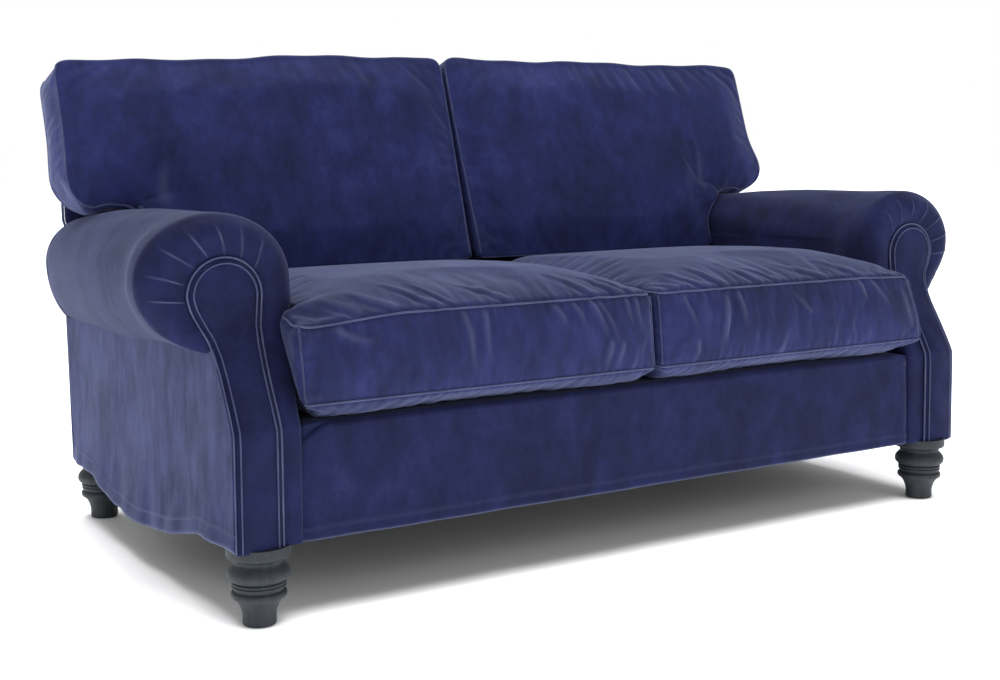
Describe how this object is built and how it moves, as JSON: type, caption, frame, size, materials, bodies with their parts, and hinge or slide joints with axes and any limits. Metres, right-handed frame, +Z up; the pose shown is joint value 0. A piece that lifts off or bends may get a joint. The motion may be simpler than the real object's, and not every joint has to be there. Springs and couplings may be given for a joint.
{
  "type": "two-seat sofa",
  "caption": "Two-seat velvet sofa with scroll arms, loose seat and back cushions and turned dark wooden legs.",
  "frame": {"origin": "on the floor, under the middle of the sofa's box", "axes": "+X to the right of someone who faces the sofa, +Y from its front to its back, +Z up"},
  "size_m": [1.8002, 0.94, 0.942],
  "materials": {
    "velvet": "cotton velvet with a lively pile, royal blue",
    "piping": "velvet-covered piping cord",
    "leg_wood": "turned hardwood, matt slate-grey stain",
    "frame_wood": "planed beech, unfinished",
    "wadding": "white fibre wadding",
    "spring_steel": "bright drawn wire",
    "fixing_steel": "zinc plated",
    "webbing": "woven elastic webbing",
    "bottom_cloth": "black non-woven cloth",
    "zip": "nylon zip on woven tape",
    "glide": "moulded nylon"
  },
  "bodies": {
    "frame": {"front_rail": "frame_wood", "back_rail": "frame_wood", "side_rail_left": "frame_wood", "side_rail_right": "frame_wood", "centre_rail": "frame_wood", "corner_blocks": "frame_wood", "arm_front_post_left": "frame_wood", "arm_front_post_right": "frame_wood", "arm_rear_posts": "frame_wood", "arm_board_left": "frame_wood", "arm_board_right": "frame_wood", "back_post_left": "frame_wood", "back_post_right": "frame_wood", "back_top_rail": "frame_wood", "back_tack_rail": "frame_wood", "shoulder_blocks": "frame_wood", "seat_springs": "spring_steel", "spring_clips": "fixing_steel", "back_webbing": "webbing", "deck_pad": "wadding", "deck_cover": "velvet", "front_border": "velvet", "dust_cover": "bottom_cloth", "inside_back_pad": "wadding", "inside_back_cover": "velvet", "outside_back_panel": "velvet", "arm_pad_left": "wadding", "arm_pad_right": "wadding", "arm_cover_left": "velvet", "arm_cover_right": "velvet", "outside_arm_panel_left": "velvet", "outside_arm_panel_right": "velvet", "arm_facing_left": "velvet", "arm_facing_right": "velvet", "facing_piping_left": "piping", "facing_piping_right": "piping", "leg_front_left": "leg_wood", "leg_front_right": "leg_wood", "leg_rear_left": "leg_wood", "leg_rear_right": "leg_wood", "leg_bolts": "fixing_steel", "leg_nuts": "fixing_steel", "leg_glides": "glide"},
    "seat_left": {"seat_cushion_left": "velvet", "seat_filling_left": "wadding", "seat_piping_left": "piping", "seat_zip_left": "zip"},
    "back_left": {"back_cushion_left": "velvet", "back_filling_left": "wadding", "back_piping_left": "piping", "back_zip_left": "zip"},
    "seat_right": {"seat_cushion_right": "velvet", "seat_filling_right": "wadding", "seat_piping_right": "piping", "seat_zip_right": "zip"},
    "back_right": {"back_cushion_right": "velvet", "back_filling_right": "wadding", "back_piping_right": "piping", "back_zip_right": "zip"}
  },
  "joints": [
    {"name": "seat_left_lift", "type": "slide", "parent": "frame", "child": "seat_left", "axis": [0, 0, 1], "range_m": [0, 0.64]},
    {"name": "seat_right_lift", "type": "slide", "parent": "frame", "child": "seat_right", "axis": [0, 0, 1], "range_m": [0, 0.64]},
    {"name": "back_left_lift", "type": "slide", "parent": "seat_left", "child": "back_left", "axis": [0, 0, 1], "range_m": [0, 0.46]},
    {"name": "back_right_lift", "type": "slide", "parent": "seat_right", "child": "back_right", "axis": [0, 0, 1], "range_m": [0, 0.46]}
  ]
}
